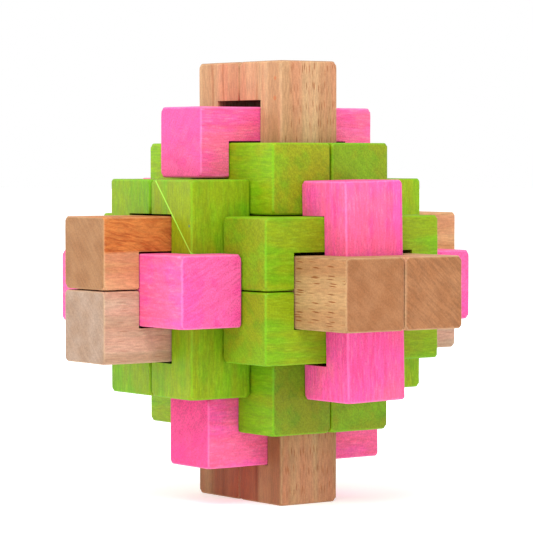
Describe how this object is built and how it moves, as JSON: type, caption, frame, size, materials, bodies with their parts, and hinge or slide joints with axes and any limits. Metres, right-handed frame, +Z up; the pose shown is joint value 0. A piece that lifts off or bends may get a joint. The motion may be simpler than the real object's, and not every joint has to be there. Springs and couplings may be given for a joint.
{
  "type": "wooden burr puzzle",
  "caption": "Interlocking burr puzzle of square notched wooden sticks, long ones natural and short ones dyed green and pink, held by a sliding key stick.",
  "frame": {"origin": "under the middle of the puzzle, on the surface that the two upright natural sticks stand on", "axes": "+Z up along the upright natural pair, +X right along the crosswise natural pair, -Y front; the key stick slides along Y"},
  "size_m": [0.093, 0.0922, 0.0924],
  "materials": {
    "natural_beech": "bare sanded beech with fine flecks, matt",
    "green_dyed_wood": "yellow-green dyed wood, matt, grain showing",
    "pink_dyed_wood": "bright pink dyed wood, matt, grain showing"
  },
  "bodies": {
    "locked_sticks": {"natural_upright_left": "natural_beech", "natural_upright_right": "natural_beech", "natural_crosswise_front": "natural_beech", "natural_crosswise_back": "natural_beech", "natural_lengthwise_lower": "natural_beech", "natural_lengthwise_upper": "natural_beech", "green_crosswise_top_front": "green_dyed_wood", "green_crosswise_top_back": "green_dyed_wood", "green_crosswise_bottom_front": "green_dyed_wood", "green_crosswise_bottom_back": "green_dyed_wood", "green_lengthwise_right_lower": "green_dyed_wood", "green_lengthwise_right_upper": "green_dyed_wood", "green_lengthwise_left_lower": "green_dyed_wood", "green_lengthwise_left_upper": "green_dyed_wood", "green_upright_back_left": "green_dyed_wood", "green_upright_back_right": "green_dyed_wood", "green_upright_front_left": "green_dyed_wood", "green_upright_front_right": "green_dyed_wood", "pink_lengthwise_top": "pink_dyed_wood", "pink_upright_right": "pink_dyed_wood", "pink_upright_left": "pink_dyed_wood", "pink_crosswise_back": "pink_dyed_wood", "pink_crosswise_front": "pink_dyed_wood"},
    "key": {"pink_key_bottom": "pink_dyed_wood"}
  },
  "joints": [
    {"name": "key_slide", "type": "slide", "parent": "locked_sticks", "child": "key", "axis": [0, -1, 0], "range_m": [-0.04, 0.04]}
  ]
}
